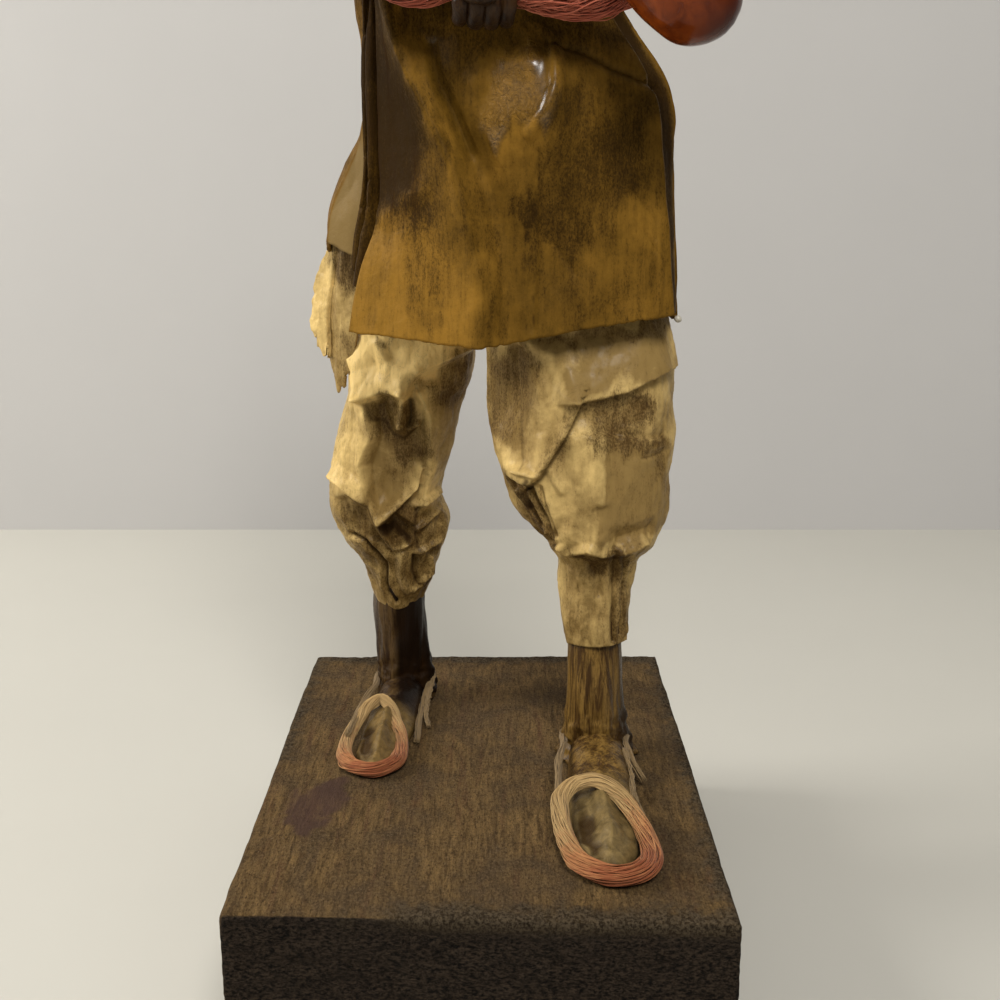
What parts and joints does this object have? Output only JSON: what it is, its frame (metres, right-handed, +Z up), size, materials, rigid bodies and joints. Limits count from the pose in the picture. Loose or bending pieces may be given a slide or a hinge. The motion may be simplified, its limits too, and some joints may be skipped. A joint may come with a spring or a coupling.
{
  "type": "papier-mache figure",
  "caption": "Papier-mache man in a lacquered tunic and crumpled paper trousers, striding on a sawn wooden block with a hank of thread and a gourd in hand.",
  "frame": {"origin": "centre of the wooden block's underside", "axes": "+Z up, the man faces -Y, and his left side is at +X"},
  "size_m": [0.0906, 0.1248, 0.2888],
  "materials": {
    "base_wood": "raw sawn, dirty and worn",
    "skin": "brown varnish over paper pulp",
    "sandal_thread": "matt glued thread",
    "cream_paper": "yellowed varnish over crumpled paper",
    "lacquered_paper": "glossy brown lacquer over folded paper",
    "hair_thread": "dark glued thread",
    "pink_thread": "matt loose thread",
    "gourd_lacquer": "high gloss orange to dark red lacquer"
  },
  "bodies": {
    "root": {"base_block": "base_wood", "left_leg": "skin", "right_leg": "skin", "left_sandal_thread": "sandal_thread", "right_sandal_thread": "sandal_thread", "trousers": "cream_paper", "hip_flap": "cream_paper", "tunic_front": "lacquered_paper", "tunic_back": "lacquered_paper", "shirt": "cream_paper", "right_hand": "skin", "left_hand": "skin", "head": "skin", "hair": "hair_thread", "thread_hank": "pink_thread", "gourd": "gourd_lacquer"}
  },
  "joints": []
}
